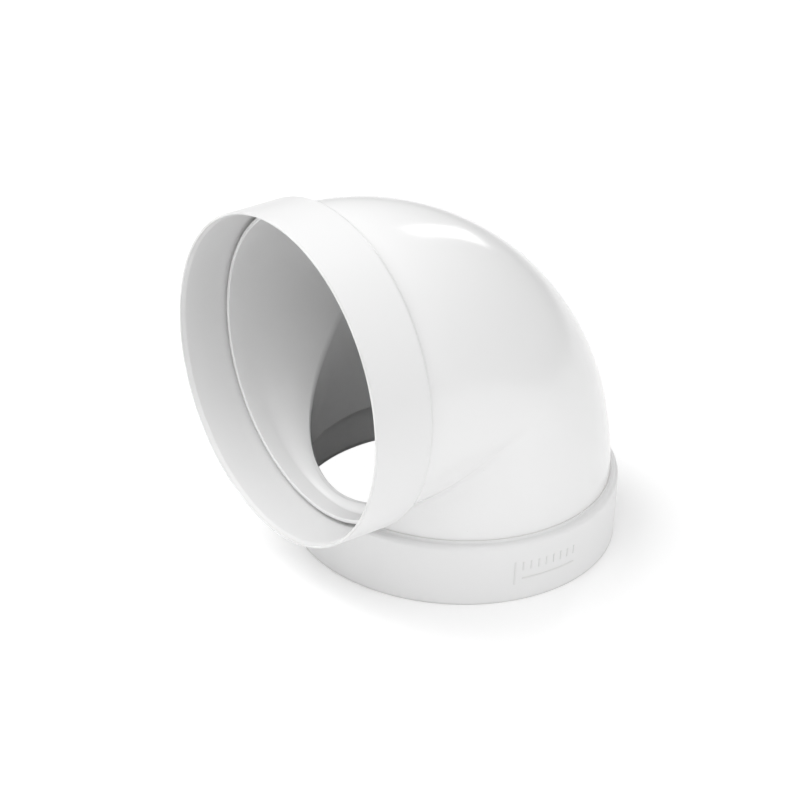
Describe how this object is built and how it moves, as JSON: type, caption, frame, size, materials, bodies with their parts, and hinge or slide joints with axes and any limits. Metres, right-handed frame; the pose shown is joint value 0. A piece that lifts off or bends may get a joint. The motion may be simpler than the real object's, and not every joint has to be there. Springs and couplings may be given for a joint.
{
  "type": "flue elbow",
  "caption": "Right-angle duct elbow in white plastic: a short bend, round at its heel and mitred at its throat, with a push-in socket collar on each mouth.",
  "frame": {"origin": "centre of the outlet mouth, on the plane of the outlet collar's rim", "axes": "-Z out of the outlet mouth, -Y out of the inlet mouth, +X to the side"},
  "size_m": [0.1289, 0.1528, 0.1528],
  "materials": {
    "bend": "glossy white moulded PVC",
    "collar": "glossy white moulded PVC, slightly softer than the bend",
    "cement": "cured solvent cement"
  },
  "bodies": {
    "root": {"bend_shell": "bend", "inlet_collar": "collar", "outlet_collar": "collar", "inlet_cement_ring": "cement", "outlet_cement_ring": "cement"}
  },
  "joints": []
}
